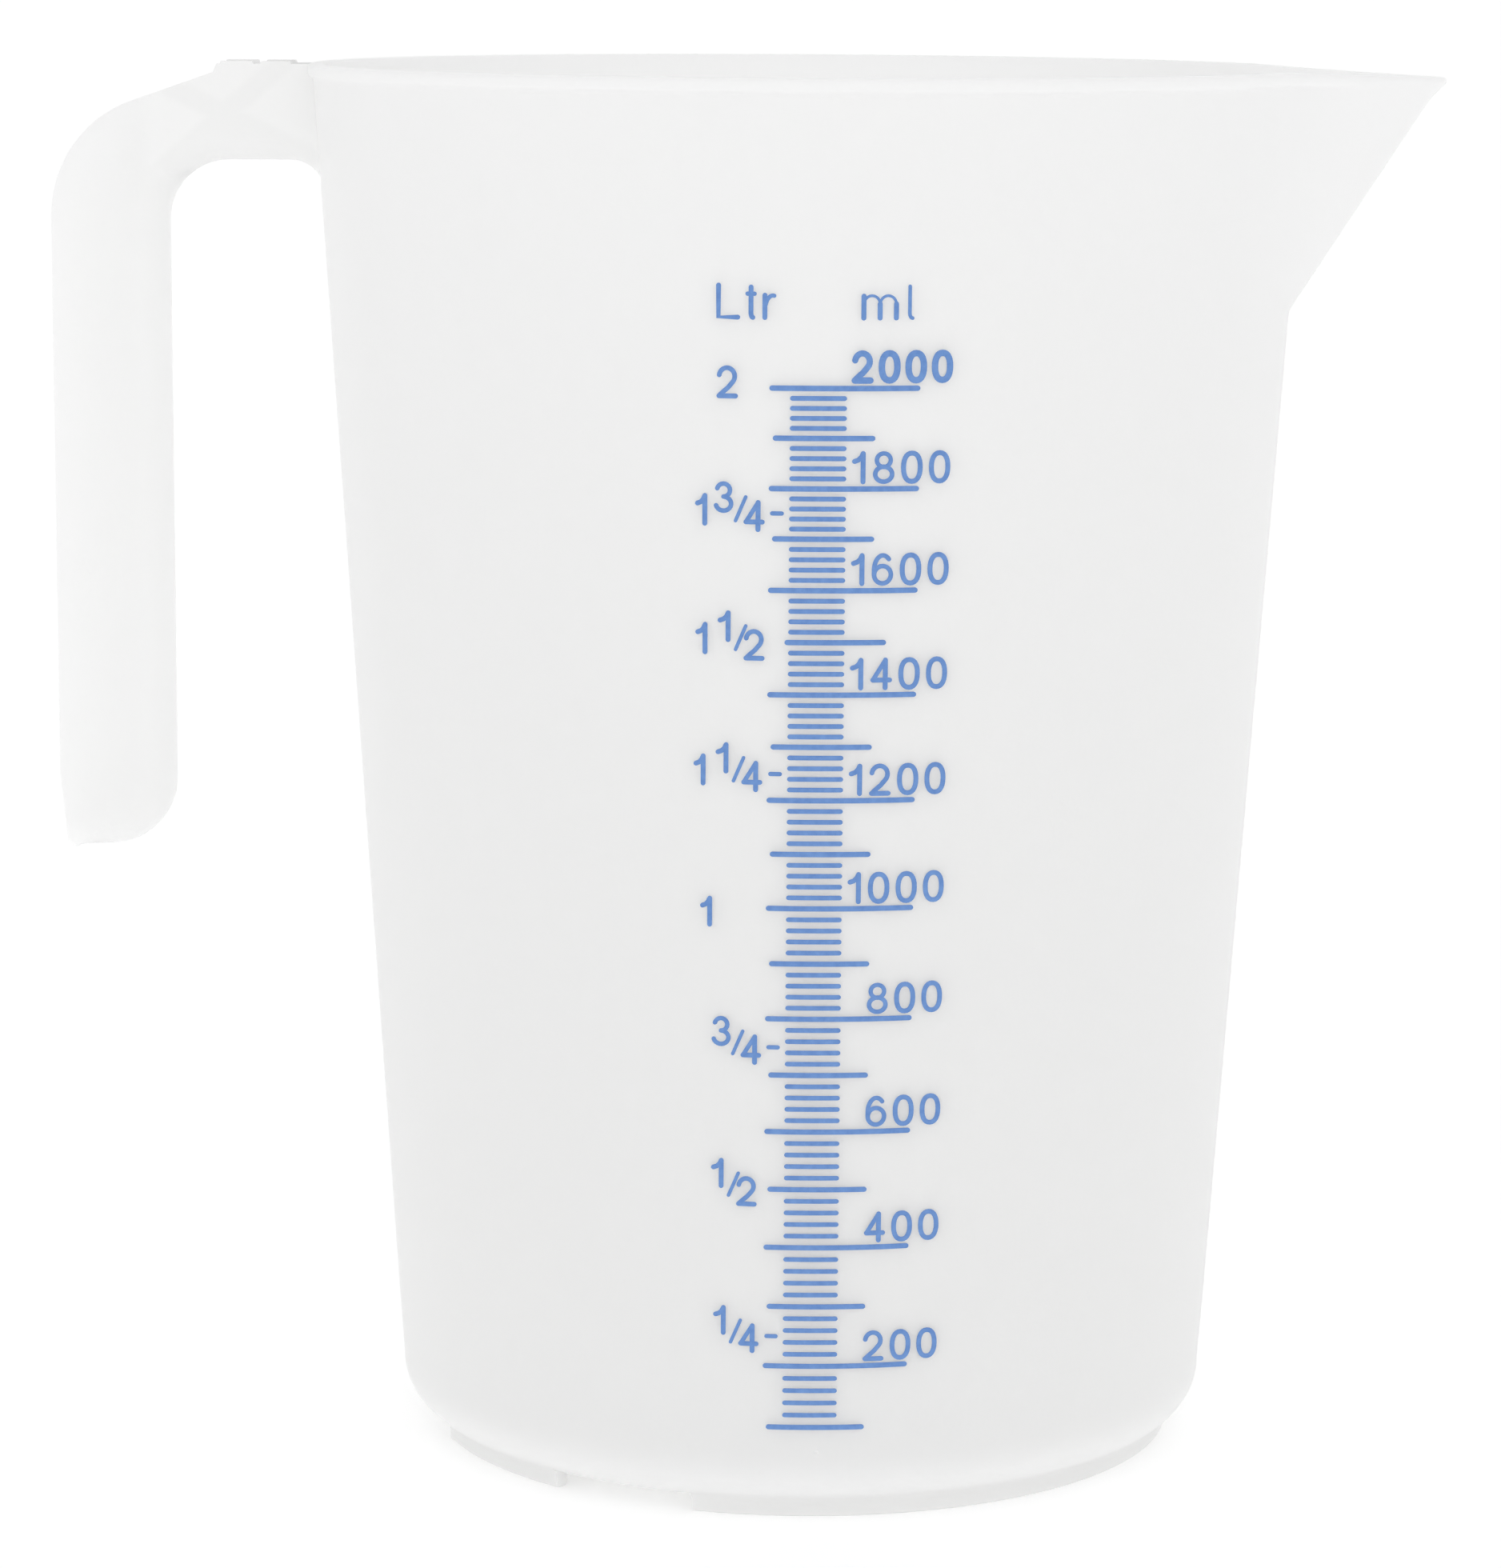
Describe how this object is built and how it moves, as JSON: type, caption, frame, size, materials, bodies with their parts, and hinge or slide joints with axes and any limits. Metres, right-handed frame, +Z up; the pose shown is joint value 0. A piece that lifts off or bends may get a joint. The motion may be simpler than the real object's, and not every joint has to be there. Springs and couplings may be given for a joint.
{
  "type": "measuring jug",
  "caption": "Tall translucent plastic measuring jug with a V spout, an open hook handle, a notched foot ring and a printed blue volume scale in litres and millilitres.",
  "frame": {"origin": "on the ground plane, in the middle of the footprint box of handle, cup and spout", "axes": "+X towards the spout, with the handle on the -X side; +Z up along the cup's axis; the scale is printed on the -Y side"},
  "size_m": [0.205, 0.1474, 0.2044],
  "materials": {
    "natural_polypropylene": "translucent natural polypropylene, satin",
    "blue_ink": "printed ink"
  },
  "bodies": {
    "root": {"jug_moulding": "natural_polypropylene", "line_0100_ml": "blue_ink", "line_0200_ml": "blue_ink", "line_0300_ml": "blue_ink", "line_0400_ml": "blue_ink", "line_0500_ml": "blue_ink", "line_0600_ml": "blue_ink", "line_0700_ml": "blue_ink", "line_0800_ml": "blue_ink", "line_0900_ml": "blue_ink", "line_1000_ml": "blue_ink", "line_1100_ml": "blue_ink", "line_1200_ml": "blue_ink", "line_1300_ml": "blue_ink", "line_1400_ml": "blue_ink", "line_1500_ml": "blue_ink", "line_1600_ml": "blue_ink", "line_1700_ml": "blue_ink", "line_1800_ml": "blue_ink", "line_1900_ml": "blue_ink", "line_2000_ml": "blue_ink", "dash_0250_ml": "blue_ink", "dash_0750_ml": "blue_ink", "dash_1250_ml": "blue_ink", "dash_1750_ml": "blue_ink"}
  },
  "joints": []
}
